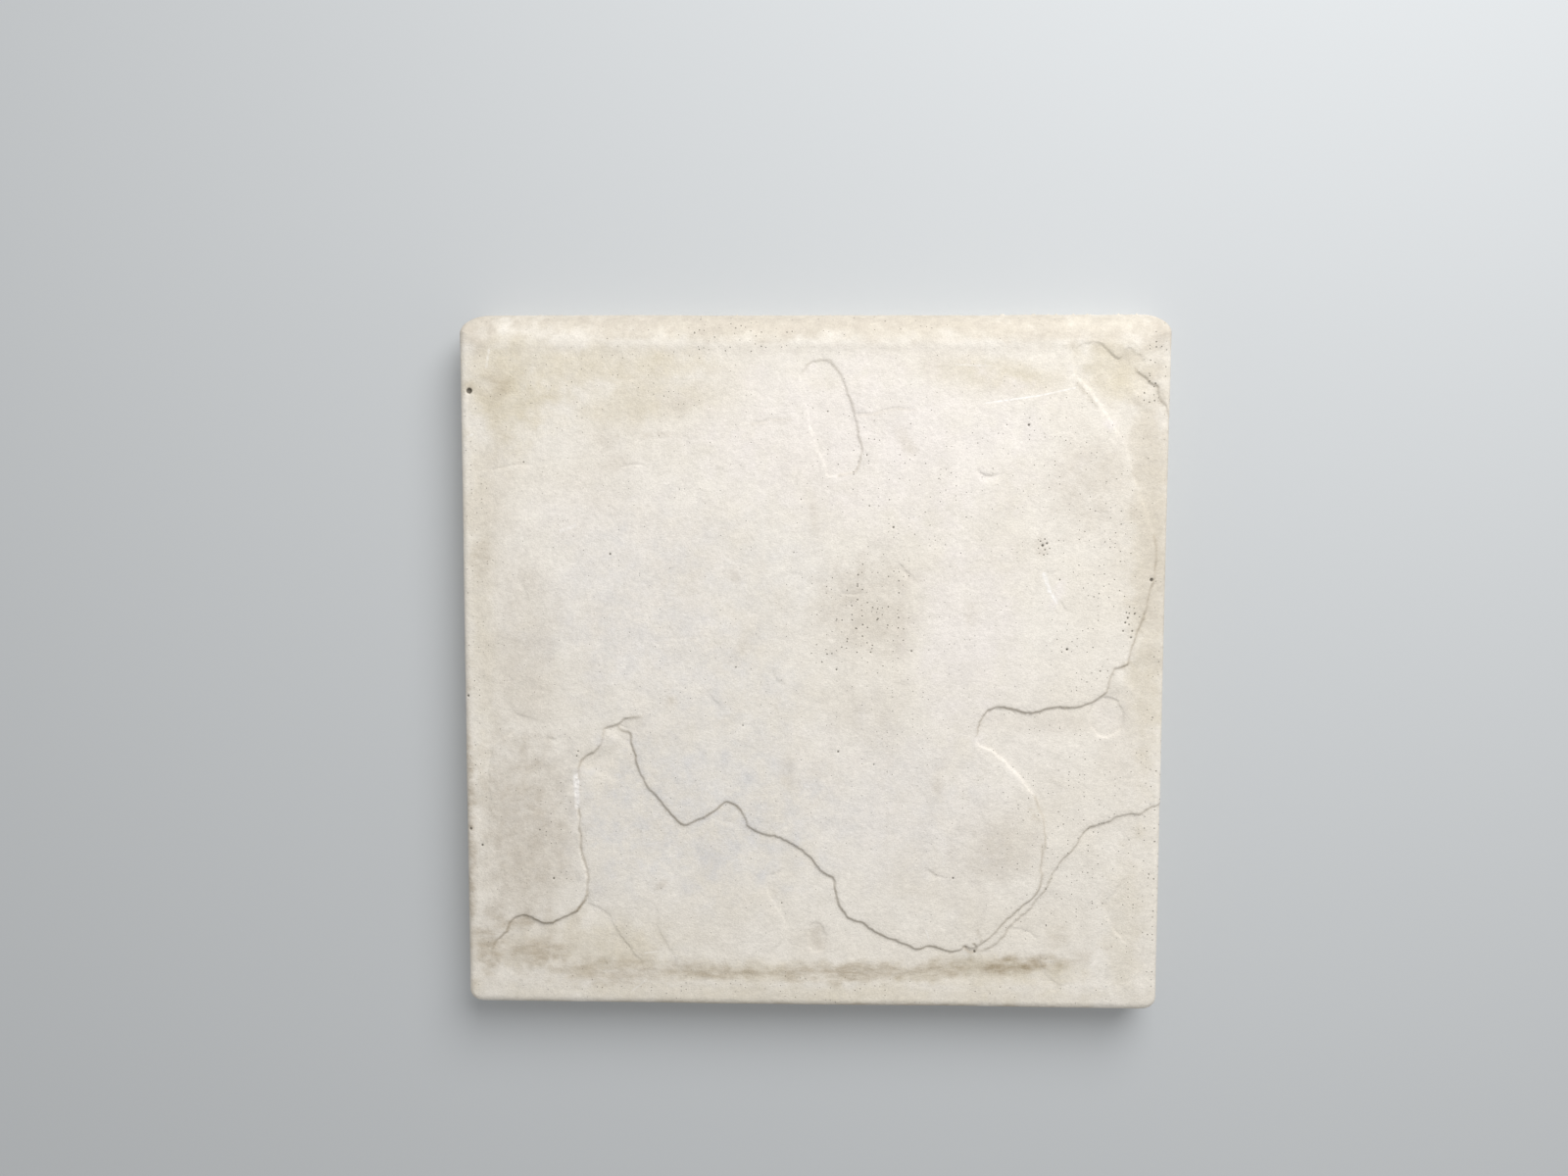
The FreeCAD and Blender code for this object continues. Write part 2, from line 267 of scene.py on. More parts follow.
OCHRE = [  # the warm tint of the sand, on the hem and in the top left
    (0, 244, 250, 16, 0, 0.55), (-215, 196, 34, 44, 0, 0.8), (-110, 186, 66, 17, 4, 0.6),
    (-150, 212, 90, 14, 0, 0.7), (120, 205, 60, 14, -4, 0.7), (212, 210, 34, 22, -20, 0.7),
    (0, -240, 240, 10, 0, 0.45), (224, -190, 14, 60, 0, 0.35), (-235, 60, 10, 160, 0, 0.35),
    (-200, -210, 40, 16, 0, 0.5), (130, -222, 80, 12, 2, 0.6), (-20, -224, 120, 10, 0, 0.4),
    (-95, 240, 60, 12, 0, 0.35), (190, 240, 60, 12, 0, 0.45), (236, 60, 14, 160, 0, 0.55),
    (-150, -205, 60, 24, 0, 0.5), (-235, 100, 12, 60, 0, 0.3),
]
BLOOM = [  # lime that dried white
    (40, 160, 130, 62, 0, 0.75), (12, 178, 14, 34, -15, 0.5), (70, -100, 80, 60, -20, 0.35),
    (-120, 60, 75, 90, 0, 0.3), (108, 20, 40, 80, 0, 0.65), (209, -36, 14, 16, 0, 0.35),
    (172, 50, 4, 14, -25, 0.7), (-165, 108, 30, 26, 0, 0.3), (206, 170, 5, 4, 0, 0.9),
    (-168.6, -90, 2.2, 12, 0, 1.0), (0, 234, 40, 6, 0, 0.15),
    (145, -40, 40, 60, 0, 0.2), (-120, -48, 30, 8, 20, 0.2),
]
COOL = [  # a blue-grey cast where the paste dried slowly
    (-85, -110, 110, 62, 0, 0.75), (-60, -20, 70, 60, 0, 0.45), (60, -100, 70, 60, -20, 0.35),
    (-120, 30, 90, 80, 0, 0.45), (-40, 60, 60, 50, 0, 0.3), (-100, -150, 80, 24, 0, 0.4),
]
# Grey where the paste is denser, and painted shade: the strokes along the nose darken it where it faces
# the lamp.
DAMP_AND_PAINTED_SHADE = [  # grey, where the paste is denser
    (36, 44, 38, 40, 0, 0.5), (44, -34, 32, 36, 10, 0.25), (192, 128, 28, 44, 0, 0.45),
    (132, -132, 30, 26, 30, 0.45), (-205, -120, 36, 80, 0, 0.75), (-212, -138, 18, 20, 0, 0.4),
    (-100, -26, 5, 4, 0, 0.7), (-122, 162.5, 26, 2.2, 2, 0.55), (-148, 158, 8, 7, 0, 0.3),
    (-95, 183, 9, 6, 0, 0.35), (-140, 143, 16, 7, 10, 0.3), (-50, 14, 6, 12, -30, 0.35),
    (-17, -76, 5, 13, 0, 0.35), (10, -74, 8, 9, 0, 0.2), (90, -84, 5, 11, 0, 0.35),
    (112, 36, 5, 9, 0, 0.3), (65, 158, 5, 10, 30, 0.35), (-85, 64, 9, 5, 0, 0.25),
    (-55, 64, 5, 5, 0, 0.35), (4, -198, 8, 12, 0, 0.5), (-108, -160, 6, 3, 30, 0.5),
    # The strokes at y 234 to 245, here and on the next line, are painted shade on the nose.
    (0, 222, 230, 5, 0, 0.2), (0, 245, 260, 16, 0, 0.9), (185, 234, 70, 9, 0, 0.7),
    (-240, 238, 20, 18, 0, 0.9), (240, 238, 20, 18, 0, 0.9), (238, 120, 16, 130, 0, 0.55),
    (-205, -205, 40, 22, 0, 0.4), (-205, 10, 30, 70, 0, 0.4), (1, 108, 4, 20, 8, 0.3),
    (160, 84, 6, 7, 0, 0.4), (215, 95, 12, 30, 10, 0.3), (218, 218, 14, 6, -25, 0.4),
    (-226, 100, 16, 60, 0, 0.3), (225, -60, 20, 60, 0, 0.25), (160, -40, 50, 8, 0, 0.25),
]
SOIL = [  # brown dirt, held where water stands
    (-105, -223, 48, 8, 0, 0.3), (-62, -224.5, 40, 6, 0, 0.45), (0, -224, 40, 8, 0, 0.4),
    (38, -223, 40, 7, 0, 0.5), (95, -220.5, 36, 8, 2, 0.45), (148, -217, 34, 8, 8, 0.6),
    (190, -211, 20, 8, 12, 0.25), (-196, -211, 22, 10, -4, 0.4), (-222.5, 196, 12, 14, 0, 0.25),
    (-243, 196, 6, 5, 0, 0.2), (-237, 76, 8, 16, 0, 0.18), (-150, -223, 60, 10, 0, 0.3),
    (-222, 193, 10, 8, 20, 0.25), (178, -196, 12, 10, 0, 0.15), (-246, -120, 4, 110, 0, 0.35),
    (0, -249, 250, 3.0, 0, 0.5), (-232, -205, 12, 22, 0, 0.35), (-212, -190, 16, 5, 10, 0.3),
]
PORES = [  # where the small pin holes crowd together
    (36, 44, 34, 34, 0, 1.0), (35, 14, 24, 14, 0, 1.0), (5, 8, 18, 10, 0, 0.8),
    (205, 60, 28, 50, 0, 0.55), (224, 34, 8, 14, 0, 0.9), (190, 10, 26, 30, 0, 0.5),
    (160, 150, 60, 50, 0, 0.35), (-60, 230, 60, 16, 0, 0.8), (60, 120, 60, 50, 0, 0.5),
    (-185, -130, 26, 60, 0, 0.35), (236, 200, 14, 40, 0, 0.9), (60, -20, 50, 50, 0, 0.35),
    (0, 0, 280, 280, 0, 0.12), (190, -130, 60, 100, 0, 0.5), (-90, 185, 20, 8, 0, 0.6),
    (-240, 60, 14, 200, 0, 0.35), (244, -120, 10, 120, 0, 0.8), (40, 240, 60, 10, 0, 0.45),
    (-170, 200, 90, 40, 0, 0.25), (0, -236, 240, 12, 0, 0.4), (205, 90, 30, 60, 0, 0.5),
]
# White scratches: start, end, half width, strength.
SCRATCHES = [
    ((121, 185.2), (159, 190.5), 0.5, 1.0), ((159, 190.5), (182, 195.6), 0.5, 0.8),
    ((99, 211.6), (124, 210.8), 0.5, 0.4), ((83, -191), (85.4, -199), 0.5, 0.5),
    ((163, 65.5), (167, 54), 1.4, 0.85), ((167, 54), (172, 46), 1.0, 0.85),
    ((-169.3, -80), (-168.4, -103), 1.5, 0.9), ((-167.5, -84), (-167.6, -95), 0.7, 0.9),
    ((-120, -210.2), (-109, -209), 0.5, 0.35), ((-130, -239), (-119.5, -230), 0.6, 0.35),
    ((-227.5, 222), (-229.5, 210), 0.8, 0.45), ((-178, 95), (-168, 99), 1.1, 0.45),
    ((-244, 161), (-240, 163), 0.8, 0.5),
]

# ---------------------------------------------------------------------------------------------
# Small helpers
# ---------------------------------------------------------------------------------------------


def smooth_step(value):
    """0 below 0, 1 above 1, and a smooth rise between."""
    value = np.clip(value, 0.0, 1.0)
    return value * value * (3.0 - 2.0 * value)


def waves(x, y, size, seed):
    """Smooth random waves about `size` mm across, from -1 to 1."""
    count = 256
    heights = np.random.default_rng(seed).uniform(-1.0, 1.0, (count, count))
    u, v = x / size + count / 2, y / size + count / 2
    column, row = np.floor(u).astype(int), np.floor(v).astype(int)
    s, t = smooth_step(u - column), smooth_step(v - row)
    left, right = column % count, (column + 1) % count
    low, high = row % count, (row + 1) % count
    lower = heights[low, left] * (1 - s) + heights[low, right] * s
    upper = heights[high, left] * (1 - s) + heights[high, right] * s
    return lower * (1 - t) + upper * t


def smooth_line(points, closed=False):
    """The given points joined by a smooth curve that passes through each of them."""
    knots = np.array(points, float)
    if closed:
        knots = np.vstack([knots[-1], knots, knots[:2]])
    else:
        knots = np.vstack([2 * knots[0] - knots[1], knots, 2 * knots[-1] - knots[-2]])
    stretches = []
    for before, start, end, after in zip(knots, knots[1:], knots[2:], knots[3:]):
        count = max(1, round(math.dist(start[:2], end[:2]) / PATH_STEP))
        t = (np.arange(count) / count)[:, None]
        stretches.append(
            start
            + 0.5 * t * (end - before)
            + t**2 * (before - 2.5 * start + 2 * end - 0.5 * after)
            + 0.5 * t**3 * (3 * (start - end) + after - before)
        )
    stretches.append(knots[-2][None])
    line = np.vstack(stretches)
    line[:, 2] = np.maximum(line[:, 2], 0.0)
    return line


# ---------------------------------------------------------------------------------------------
# The relief of the walking face, as a depth in mm at each cell of the raster
# ---------------------------------------------------------------------------------------------

AXIS = np.arange(-HALF_FACE, HALF_FACE + CELL, CELL)
FACE_X, FACE_Y = np.meshgrid(AXIS, AXIS)
# Torn rock has no clean line, so each line is measured from places that wander a little.
TORN_X = FACE_X + 0.45 * waves(FACE_X, FACE_Y, 2.2, 11) + 0.7 * waves(FACE_X, FACE_Y, 7.0, 12)
TORN_Y = FACE_Y + 0.45 * waves(FACE_X, FACE_Y, 2.2, 13) + 0.7 * waves(FACE_X, FACE_Y, 7.0, 14)


def window(low, high, reach):
    """The stretch of the raster's axis from low to high and `reach` mm more at each end."""
    return slice(*np.searchsorted(AXIS, (low - reach, high + reach)))


def nearest_on(line, reach):
    """How far each cell lies from the line, positive on its right hand and -reach where it is
    farther off than that, and the line's drop at the nearest point."""
    gap = np.full(FACE_X.shape, float(reach))
    side = np.ones(FACE_X.shape)
    drop = np.zeros(FACE_X.shape)
    for (ax, ay, a_drop), (bx, by, b_drop) in zip(line, line[1:]):
        cells = (window(min(ay, by), max(ay, by), reach), window(min(ax, bx), max(ax, bx), reach))
        px, py = TORN_X[cells] - ax, TORN_Y[cells] - ay
        dx, dy = bx - ax, by - ay
        along = np.clip((px * dx + py * dy) / (dx * dx + dy * dy), 0.0, 1.0)
        away = np.hypot(px - along * dx, py - along * dy)
        closer = away < gap[cells]
        gap[cells][closer] = away[closer]
        side[cells][closer] = np.sign(py * dx - px * dy)[closer]
        drop[cells][closer] = (a_drop + along * (b_drop - a_drop))[closer]
    return -side * gap, drop


def soften(raster, reach):
    """The raster averaged over about `reach` mm each way."""
    count = round(reach / CELL)
    for _ in range(2):
        for axis in (0, 1):
            padded = np.concatenate([np.take(raster, [0] * (count + 1), axis), raster,
                                     np.take(raster, [-1] * count, axis)], axis)
            total = np.cumsum(padded, axis)
            size = raster.shape[axis]
            ahead = np.take(total, range(2 * count + 1, 2 * count + 1 + size), axis)
            behind = np.take(total, range(size), axis)
            raster = (ahead - behind) / (2 * count + 1)
    return raster


def break_away(depth, points, run, wall=1.4, closed=False):
    """The face drops beyond the line, in a cliff `wall` mm wide, and rises again over `run`."""
    beyond, drop = nearest_on(smooth_line(points, closed), run)
    cliff = (1.0 - SHOULDER_SHARE) * smooth_step(beyond / wall)
    cliff += SHOULDER_SHARE * smooth_step(1.0 + beyond / SHOULDER)
    rise = 1.0 if closed else 1.0 - smooth_step(beyond / run)
    depth += soften(drop, 1.5) * cliff * rise


def scribe(depth, points, width=1.3):
    """A crack along the line, `width` mm from its middle to each lip."""
    beyond, drop = nearest_on(smooth_line(points), 2 * width)
    depth += drop * (1.0 - smooth_step(np.abs(beyond) / width))


def ring(x, y, half_x, half_y, drop):
    """Points of an oval, clockwise."""
    turns = [math.radians(-angle) for angle in range(0, 360, 30)]
    return [(x + half_x * math.cos(turn), y + half_y * math.sin(turn), drop) for turn in turns]


def add_bowls(depth, bowls, share):
    """Round bowls, or beads where share is below zero, as deep as `share` of their radius."""
    for x, y, radius in bowls:
        cells = (window(y, y, 2 * radius), window(x, x, 2 * radius))
        from_middle = np.hypot(FACE_X[cells] - x, FACE_Y[cells] - y) / radius
        depth[cells] += share * radius * (1.0 - smooth_step((from_middle - 0.5) / 0.7))


def relief():
    """Depth of the finished face below the flat of the slab."""
    depth = np.full(FACE_X.shape, FACE_DROP)
    break_away(depth, LONG_BREAK, 75)
    break_away(depth, CORNER_BREAK, 80)
    break_away(depth, RIGHT_BREAK, 70)
    break_away(depth, LEFT_BREAK, 38)
    break_away(depth, TORN_CORNER, 20)
    for points in FAINT_BREAKS:
        length = math.dist(points[0][:2], points[-1][:2])
        share = FAINT_SHARE if length > 30 else SHORT_SHARE
        points = [(x, y, share * drop) for x, y, drop in points]
        break_away(depth, points, min(16, 3 + 0.3 * length), wall=1.2)
    break_away(depth, FINGER_HOLLOW, 30, wall=1.9, closed=True)
    for hollow in RING_HOLLOWS:
        break_away(depth, ring(*hollow), 20, closed=True)
    for points in CRACKS:
        scribe(depth, points)
    add_bowls(depth, BUG_HOLES, 1.1)
    add_bowls(depth, LIME_BEADS, -0.6)

    from_nose = HALF_FACE - FACE_Y - HEM_NOSE
    from_back = HALF_FACE + FACE_Y - HEM_BACK
    inside = smooth_step(from_nose / HEM_SLOPE + 0.5) * smooth_step(from_back / HEM_SLOPE + 0.5)
    depth += HEM_DROP * inside
    depth += LONG_WAVE * (1 + waves(FACE_X, FACE_Y, 62, 21)) + SHORT_WAVE * waves(FACE_X, FACE_Y, 17, 22)
    depth += FINE_WAVE * waves(FACE_X, FACE_Y, 5, 23)
    return depth


def paint(strokes):
    """The strength of one tint at each cell, from its strokes, with a ragged edge."""
    tint = np.zeros(FACE_X.shape)
    ragged = 0.3 * waves(FACE_X, FACE_Y, 9, 31) + 0.2 * waves(FACE_X, FACE_Y, 3.5, 32)
    for x, y, half_along, half_across, turn, strength in strokes:
        cosine, sine = math.cos(math.radians(turn)), math.sin(math.radians(turn))
        along = (FACE_X - x) * cosine + (FACE_Y - y) * sine
        across = (FACE_Y - y) * cosine - (FACE_X - x) * sine
        out = np.hypot(along / half_along, across / half_across)
        tint = np.maximum(tint, strength * (1.0 - smooth_step((out + ragged - 0.35) / 1.0)))
    return tint


def crease_shade_and_dirt():
    """The strength of the painted shade and dirt at each cell: in the cracks and at the foot of the
    breaks.
    """
    # this raster holds painted shade and dirt together
    dirt = np.zeros(FACE_X.shape)
    broken = 0.8 + 0.35 * waves(FACE_X, FACE_Y, 6, 33)
    for points, strength in CREASE_SHADE_AND_DIRT:
        beyond, _ = nearest_on(smooth_line(points), 4)
        dirt = np.maximum(dirt, strength * broken * (1.0 - smooth_step(np.abs(beyond - 0.7) / 1.7)))
    return dirt


def at_points(raster, x, y):
    """The raster's value at each point, read between its cells."""
    u = np.clip((x + HALF_FACE) / CELL, 0, len(AXIS) - 1.001)
    v = np.clip((y + HALF_FACE) / CELL, 0, len(AXIS) - 1.001)
    column, row = u.astype(int), v.astype(int)
    s, t = u - column, v - row
    lower = raster[row, column] * (1 - s) + raster[row, column + 1] * s
    upper = raster[row + 1, column] * (1 - s) + raster[row + 1, column + 1] * s
    return lower * (1 - t) + upper * t


# ---------------------------------------------------------------------------------------------
# The slab
# ---------------------------------------------------------------------------------------------


def choose(*pieces):
    """Selects these objects only, with the first one active."""
    bpy.ops.object.select_all(action="DESELECT")
    for piece in pieces:
        piece.select_set(True)
    bpy.context.view_layer.objects.active = pieces[0]


def points_of(mesh, field="co", width=3):
    """One field of the mesh's vertices as an array."""
    values = np.empty(len(mesh.vertices) * width, np.float32)
    mesh.vertices.foreach_get(field, values)
    return values.reshape(-1, width).astype(float)


def add_crumbs(slab):
    """Beads of cement that squeezed out of the mould and stayed along the nose."""
    rng = np.random.default_rng(5)
    crumbs = []
    for start, end, count, size in CRUMB_RUNS:
        for x in rng.uniform(start, end, count):
            radius = size * rng.uniform(0.6, 1.25)
            place = (x * MM, (249.2 - 0.5 * radius) * MM, rng.uniform(15, 22) * MM)
            bpy.ops.mesh.primitive_ico_sphere_add(subdivisions=2, radius=radius * MM, location=place)
            crumbs.append(bpy.context.object)
    choose(slab, *crumbs)
    bpy.ops.object.join()


def blank_slab():
    """A copy of the slab with the crumbs on it, remeshed evenly so that it can be cut."""
    slab = bpy.data.objects.new("riven_slab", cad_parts[NODE].data.copy())
    bpy.context.collection.objects.link(slab)
    choose(slab)
    bpy.ops.object.mode_set(mode="EDIT")
    bpy.ops.mesh.select_all(action="SELECT")
    bpy.ops.mesh.remove_doubles(threshold=0.001 * MM)
    bpy.ops.object.mode_set(mode="OBJECT")
    add_crumbs(slab)
    slab.data.remesh_voxel_size = VOXEL * MM
    slab.data.remesh_voxel_adaptivity = 0
    bpy.ops.object.voxel_remesh()
    return slab


def cut_relief(slab, depth):
    """Cuts the relief into the walking face and lets the cast walls wander in a little."""
    points = points_of(slab.data) / MM
    facing = points_of(slab.data, "normal")
    x, y, z = points.T
    wall = smooth_step((0.9 - np.abs(facing[:, 2])) / 0.4)
    nose = smooth_step((y - NOSE_FROM) / NOSE_BLEND)
    around = x + y
    wander = 0.5 + 0.35 * waves(around, z, 45, 41) + 0.15 * waves(around, z, 12, 42)
    ragged = 0.12 * (1 + waves(around, z, 2.5, 43))
    amount = (WALL_WAVE + (NOSE_WAVE - WALL_WAVE) * nose) * wander + ragged * nose
    points[:, :2] -= facing[:, :2] * (wall * amount)[:, None]
    lift = smooth_step((z - LIFT_FROM) / (LIFT_TO - LIFT_FROM))
    points[:, 2] -= at_points(depth, x, y) * lift
    points = np.clip(points, LOW_CORNER, HIGH_CORNER) * MM
    slab.data.vertices.foreach_set("co", points.astype(np.float32).ravel())
    slab.data.update()


def thin_out(slab):
    """Spends the triangles where the face is broken and few where it is flat."""
    thinner = slab.modifiers.new("thinner", "DECIMATE")
    thinner.ratio = FACES_KEPT / (2 * len(slab.data.polygons))
    choose(slab)
    bpy.ops.object.modifier_apply(modifier=thinner.name)


def paint_slab(slab):
    """Writes each tint to the mesh, faded out down the walls."""
    x, y, z = (points_of(slab.data) / MM).T
    on_face = smooth_step((z - 2) / 30)
    # one of these tints also carries painted shade on the nose
    tints = {"ochre": OCHRE, "bloom": BLOOM, "cool": COOL, "damp_and_painted_shade": DAMP_AND_PAINTED_SHADE, "soil": SOIL, "pores": PORES}
    rasters = {name: paint(strokes) for name, strokes in tints.items()}
    # the crease raster is painted shade and dirt at the foot of the breaks and in the cracks
    rasters["crease_shade_and_dirt"] = crease_shade_and_dirt()
    for name, raster in rasters.items():
        strength = at_points(raster, x, y) * on_face
        layer = slab.data.attributes.new(name, "FLOAT", "POINT")
        layer.data.foreach_set("value", strength.astype(np.float32))


# ---------------------------------------------------------------------------------------------
# The concrete
# ---------------------------------------------------------------------------------------------


def linear(colour):
    """An sRGB hex colour as linear red, green, blue and alpha."""
    parts = [int(colour[place : place + 2], 16) / 255 for place in (1, 3, 5)]
    return [p / 12.92 if p <= 0.04045 else ((p + 0.055) / 1.055) ** 2.4 for p in parts] + [1.0]


def add(tree, kind, inputs=None, output=0, **settings):
    """Adds one node with its settings and links, and gives back the output that is asked for.

    An input is a value or the socket that feeds it.
    """
    new = tree.nodes.new(kind)
    for name, value in settings.items():
        setattr(new, name, value)
    for name, value in (inputs or {}).items():
        if isinstance(value, bpy.types.NodeSocket):
            tree.links.new(value, new.inputs[name])
        else:
            new.inputs[name].default_value = value
    return new.outputs[output]


def per_metre(size):
    """The texture scale at which one cell of a pattern is `size` mm."""
    return 1.0 / (size * MM)


def wet_cast_concrete():
    """Wet-cast white-cement concrete, moulded and left as it came out.

    Cement paste skins over the sand against the mould, so the face is pale, dead matt and nearly
    smooth. What the eye finds is slow blotches of lime and of denser, greyer paste, fine sand showing
    through the skin as grain, and pin holes where air was trapped. The colour also holds painted
    shade: with dirt along the foot of the breaks and in the cracks, on the nose, and inside the pin
    holes and bug holes.

    Inputs 1 to 4 of a map range node are its old low and high and its new low and high. Inputs 6
    and 7 of a colour mix are the two colours, and its output 2 is the blend of them.
    """
    material = bpy.data.materials.new("wet_cast_concrete")
    material.use_nodes = True
    tree = material.node_tree
    shader = tree.nodes["Principled BSDF"]
    place = add(tree, "ShaderNodeTexCoord", output="Object")
    flat = add(tree, "ShaderNodeVectorMath", {0: place, 1: (1, 1, 0)}, operation="MULTIPLY")
    drawn_out = add(tree, "ShaderNodeVectorMath", {0: place, 1: (0.3, 1, 1)}, operation="MULTIPLY")

    def cloud(size, detail, roughness, low, high, to_low, to_high, where=place):
        """A cloudy pattern with blotches of that size in mm, its values carried to a new range."""
        scale = {"Vector": where, "Scale": per_metre(size), "Detail": detail, "Roughness": roughness}
        noise = add(tree, "ShaderNodeTexNoise", scale, "Fac")
        return add(tree, "ShaderNodeMapRange", {"Value": noise, 1: low, 2: high, 3: to_low, 4: to_high})

    def painted(name, breakup):
        """How strongly the mesh is painted with one tint, broken up by a pattern."""
        strength = add(tree, "ShaderNodeAttribute", output="Fac", attribute_name=name)
        return add(tree, "ShaderNodeMath", {0: strength, 1: breakup}, operation="MULTIPLY")

    worn = cloud(2.5, 3, 0.7, 0.42, 0.58, 0.35, 1.0)

    def scratched(start, end, half_width, strength):
        """How strongly a straight stroke marks the face, worn away in places."""
        run = [(end[0] - start[0]) * MM, (end[1] - start[1]) * MM, 0.0]
        start = (start[0] * MM, start[1] * MM, 0.0)
        share = 1 / (run[0] ** 2 + run[1] ** 2)
        back = add(tree, "ShaderNodeVectorMath", {0: flat, 1: start}, operation="SUBTRACT")
        dot = add(tree, "ShaderNodeVectorMath", {0: back, 1: run}, "Value", operation="DOT_PRODUCT")
        along = add(tree, "ShaderNodeMath", {0: dot, 1: share}, operation="MULTIPLY", use_clamp=True)
        foot = add(tree, "ShaderNodeVectorMath", {0: run, "Scale": along}, operation="SCALE")
        away = add(tree, "ShaderNodeVectorMath", {0: back, 1: foot}, "Value", operation="DISTANCE")
        lip = {"Value": away, 1: 0.5 * half_width * MM, 2: 1.6 * half_width * MM, 3: strength, 4: 0.0}
        line = add(tree, "ShaderNodeMapRange", lip)
        return add(tree, "ShaderNodeMath", {0: line, 1: worn}, operation="MULTIPLY")

    def lay_on(colour, layers):
        """The colour with each tint laid over it in its amount, the first one lowest."""
        for tint, amount in layers:
            mix = {0: amount, 6: colour, 7: linear(tint)}
            colour = add(tree, "ShaderNodeMix", mix, 2, data_type="RGBA")
        return colour

    blotches = cloud(26, 4, 0.6, 0.3, 0.7, 0.55, 1.3)
    patches = cloud(7, 3, 0.6, 0.3, 0.7, 0.6, 1.3)
    clouds = cloud(15, 4, 0.7, 0.38, 0.66, 0.15, 1.0)
    streaks = cloud(4.5, 4, 0.7, 0.34, 0.66, 0.3, 1.6, drawn_out)
    colour = lay_on(linear("#F0E9DD"), [
        ("#F5EFE5", cloud(48, 3, 0.5, 0.35, 0.65, 0, 1)),
        ("#E1D7C1", painted("ochre", blotches)),
        ("#F6EFE9", painted("bloom", blotches)),
        ("#E2E0DF", painted("cool", clouds)),
        # grey where the paste is denser, with painted shade on the nose
        ("#D8CFC1", painted("damp_and_painted_shade", patches)),
        ("#AD9D83", painted("soil", streaks)),
        # painted shade and dirt at the foot of the breaks and in the cracks
        ("#B5A995", painted("crease_shade_and_dirt", 1.0)),
    ])

    mottle = cloud(11, 4, 0.65, 0.3, 0.7, 0.93, 1.03)
    flecks = cloud(3.2, 2, 0.5, 0.3, 0.7, 0.955, 1.02)
    grain = cloud(1.1, 3, 0.7, 0.25, 0.75, 0.85, 1.06)
    for tone in (mottle, flecks, grain):
        grey = add(tree, "ShaderNodeCombineColor", {0: tone, 1: tone, 2: tone})
        mix = {0: 1.0, 6: colour, 7: grey}
        colour = add(tree, "ShaderNodeMix", mix, 2, data_type="RGBA", blend_type="MULTIPLY")

    # Pin holes: one seed in each step, of which a few are open, more where pores are painted.
    grid = {"Vector": place, "Scale": per_metre(PIN_HOLE_STEP)}
    seeds = add(tree, "ShaderNodeTexVoronoi", grid, voronoi_dimensions="2D").node
    luck = add(tree, "ShaderNodeSeparateColor", {0: seeds.outputs["Color"]})
    crowd = add(tree, "ShaderNodeAttribute", output="Fac", attribute_name="pores")
    rarity = add(tree, "ShaderNodeMapRange", {"Value": crowd, 1: 0, 2: 1, 3: 0.99, 4: 0.62})
    chosen = add(tree, "ShaderNodeMath", {0: luck, 1: rarity}, operation="SUBTRACT")
    size = add(tree, "ShaderNodeMapRange", {"Value": chosen, 1: 0, 2: 0.35, 3: 0.04, 4: 0.15})
    is_open = add(tree, "ShaderNodeMapRange", {"Value": chosen, 1: 0, 2: 0.001, 3: 0, 4: 1})
    within = add(tree, "ShaderNodeMath", {0: size, 1: seeds.outputs["Distance"]}, operation="SUBTRACT")
    within = add(tree, "ShaderNodeMapRange", {"Value": within, 1: -0.04, 2: 0.03, 3: 0, 4: 1})
    pin_hole = add(tree, "ShaderNodeMath", {0: within, 1: is_open}, operation="MULTIPLY")
    pin_shade = add(tree, "ShaderNodeMath", {0: pin_hole, 1: 0.65}, operation="MULTIPLY")

    nearest = 1.0
    for x, y, radius in BUG_HOLES:
        middle = (x * MM, y * MM, 0)
        away = add(tree, "ShaderNodeVectorMath", {0: flat, 1: middle}, "Value", operation="DISTANCE")
        away = add(tree, "ShaderNodeMath", {0: away, 1: radius * MM}, operation="SUBTRACT")
        nearest = add(tree, "ShaderNodeMath", {0: nearest, 1: away}, operation="MINIMUM")
    rim = {"Value": nearest, 1: -0.3 * MM, 2: 0.15 * MM, 3: 0.8, 4: 0}
    bug_shade = add(tree, "ShaderNodeMapRange", rim)

    colour = lay_on(colour, [("#FBF8F4", scratched(*stroke)) for stroke in SCRATCHES])
    colour = lay_on(colour, [("#5C5548", pin_shade), ("#4A4438", bug_shade)])

    fine = cloud(0.9, 3, 0.6, 0, 1, 0, 0.22)
    coarse = cloud(4.0, 4, 0.65, 0, 1, 0, 0.6)
    height = add(tree, "ShaderNodeMath", {0: fine, 1: coarse}, operation="ADD")
    sunk = add(tree, "ShaderNodeMath", {0: pin_hole, 1: 0.5}, operation="MULTIPLY")
    height = add(tree, "ShaderNodeMath", {0: height, 1: sunk}, operation="SUBTRACT")
    bump = add(tree, "ShaderNodeBump", {"Height": height, "Strength": 1.0, "Distance": MM})

    tree.links.new(colour, shader.inputs["Base Color"])
    tree.links.new(bump, shader.inputs["Normal"])
    tree.links.new(cloud(9, 2, 0.5, 0.3, 0.7, 0.82, 0.95), shader.inputs["Roughness"])
    shader.inputs["IOR"].default_value = 1.5
    shader.inputs["Specular IOR Level"].default_value = 0.3
    return material


# ---------------------------------------------------------------------------------------------
# The stage
# ---------------------------------------------------------------------------------------------


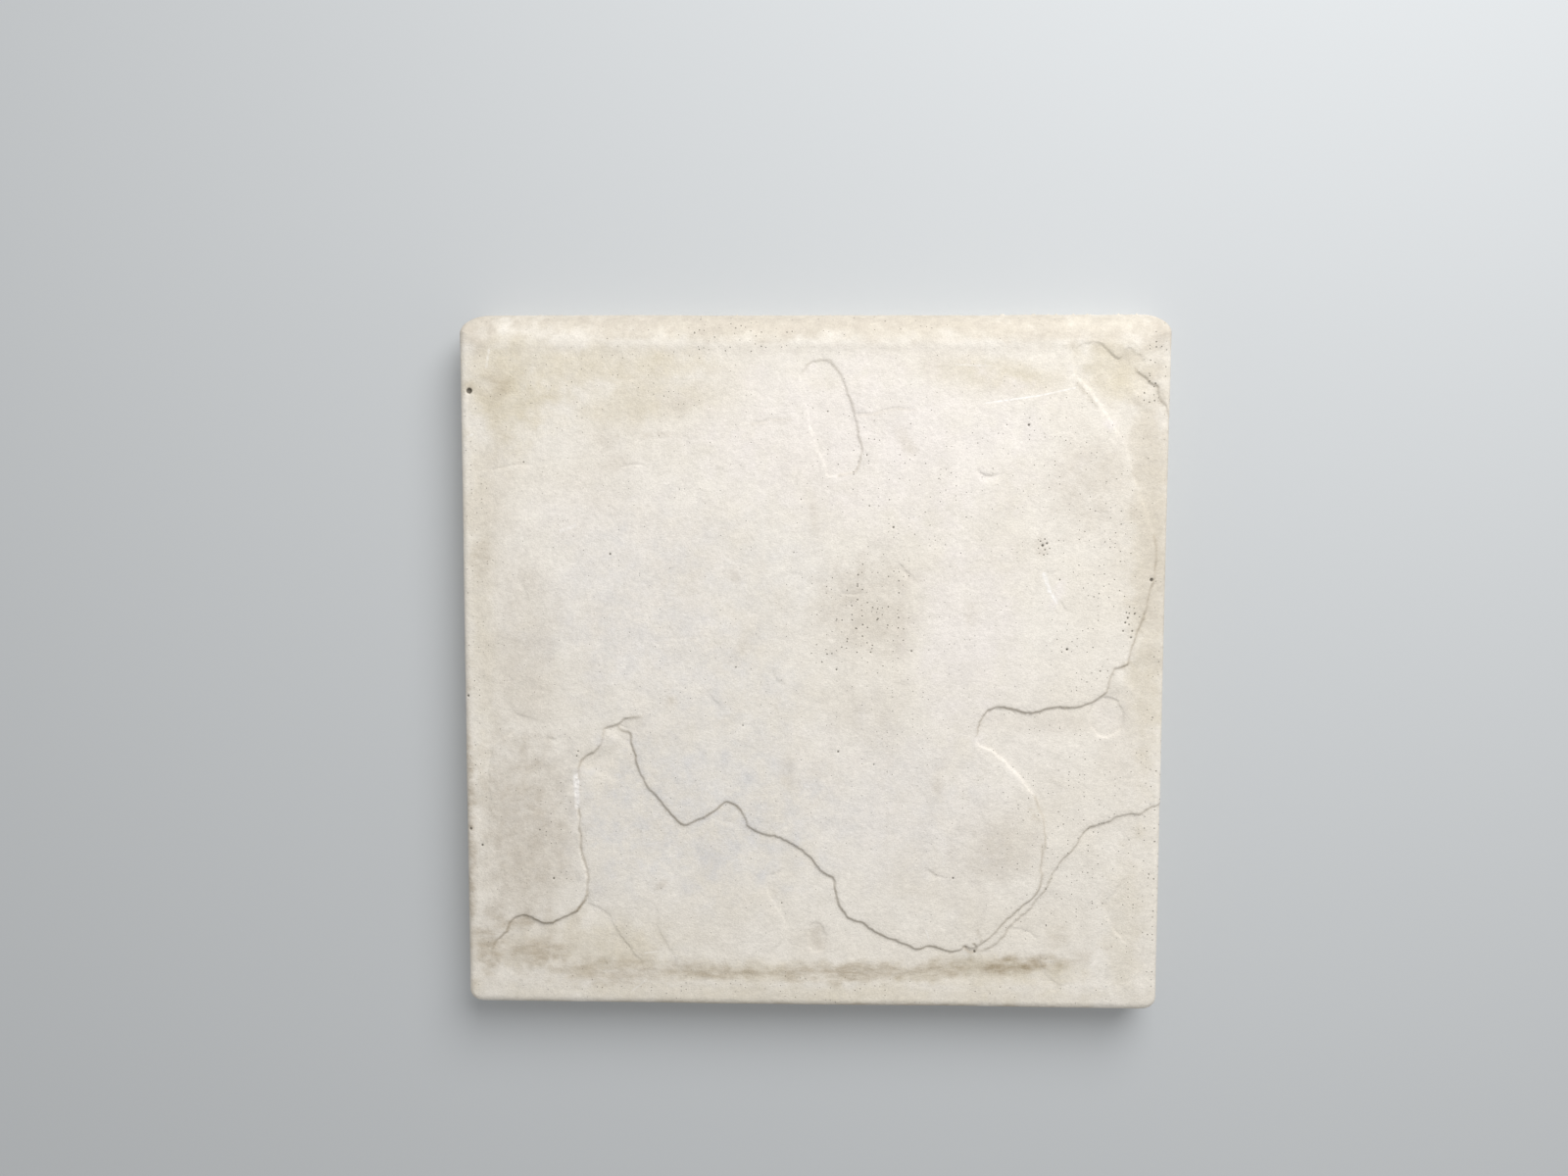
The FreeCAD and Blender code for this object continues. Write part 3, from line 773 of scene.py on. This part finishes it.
def lay_floor():
    """A plain pale floor, far larger than the stone."""
    bpy.ops.object.select_all(action="DESELECT")
    bpy.ops.mesh.primitive_plane_add(size=6.0, location=(0, 0, -0.1 * MM))
    floor = bpy.context.object
    floor.name = "floor"
    material = bpy.data.materials.new("pale_floor_paint")
    material.use_nodes = True
    shader = material.node_tree.nodes["Principled BSDF"]
    shader.inputs["Base Color"].default_value = linear("#C9CCCE")
    shader.inputs["Roughness"].default_value = 0.9
    shader.inputs["Specular IOR Level"].default_value = 0.1
    floor.data.materials.append(material)


def light_stage():
    """One wide lamp high over the nose side, a little to the right, and an even pale sky."""
    distance, azimuth, elevation = 1.7, math.radians(24), math.radians(46)
    lamp = bpy.data.objects.new("window", bpy.data.lights.new("window", "AREA"))
    bpy.context.collection.objects.link(lamp)
    lamp.data.shape = "DISK"
    lamp.data.size = 1.3
    lamp.data.energy = 24.5
    lamp.location = (
        distance * math.cos(elevation) * math.sin(azimuth),
        distance * math.cos(elevation) * math.cos(azimuth),
        distance * math.sin(elevation),
    )
    lamp.rotation_mode = "QUATERNION"
    lamp.rotation_quaternion = lamp.location.to_track_quat("Z", "Y")

    sky = bpy.data.worlds.new("sky")
    sky.use_nodes = True
    sky.node_tree.nodes["Background"].inputs["Color"].default_value = linear("#FFFFFF")
    sky.node_tree.nodes["Background"].inputs["Strength"].default_value = 0.43
    bpy.context.scene.world = sky


def place_camera():
    """Looks down on the walking face, a little from the nose side."""
    camera = bpy.data.objects.new("camera", bpy.data.cameras.new("camera"))
    bpy.context.collection.objects.link(camera)
    camera.data.sensor_width = 36.0
    camera.data.lens = 28.125
    camera.location = (0.00186, 0.11666, 0.90308)
    camera.rotation_euler = [math.radians(angle) for angle in (-4.056, 1.453, 0.140)]
    bpy.context.scene.camera = camera


def make_stone():
    """The whole stone: cut, thinned, painted and tied to the slab that it stands for."""
    depth = relief()
    slab = blank_slab()
    cut_relief(slab, depth)
    thin_out(slab)
    slab.data.materials.clear()
    slab.data.materials.append(wet_cast_concrete())
    paint_slab(slab)
    choose(slab)
    bpy.ops.object.shade_smooth()
    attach(slab, "root")
    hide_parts(NODE)


make_stone()
lay_floor()
light_stage()
place_camera()
bpy.context.scene.view_settings.view_transform = "Standard"
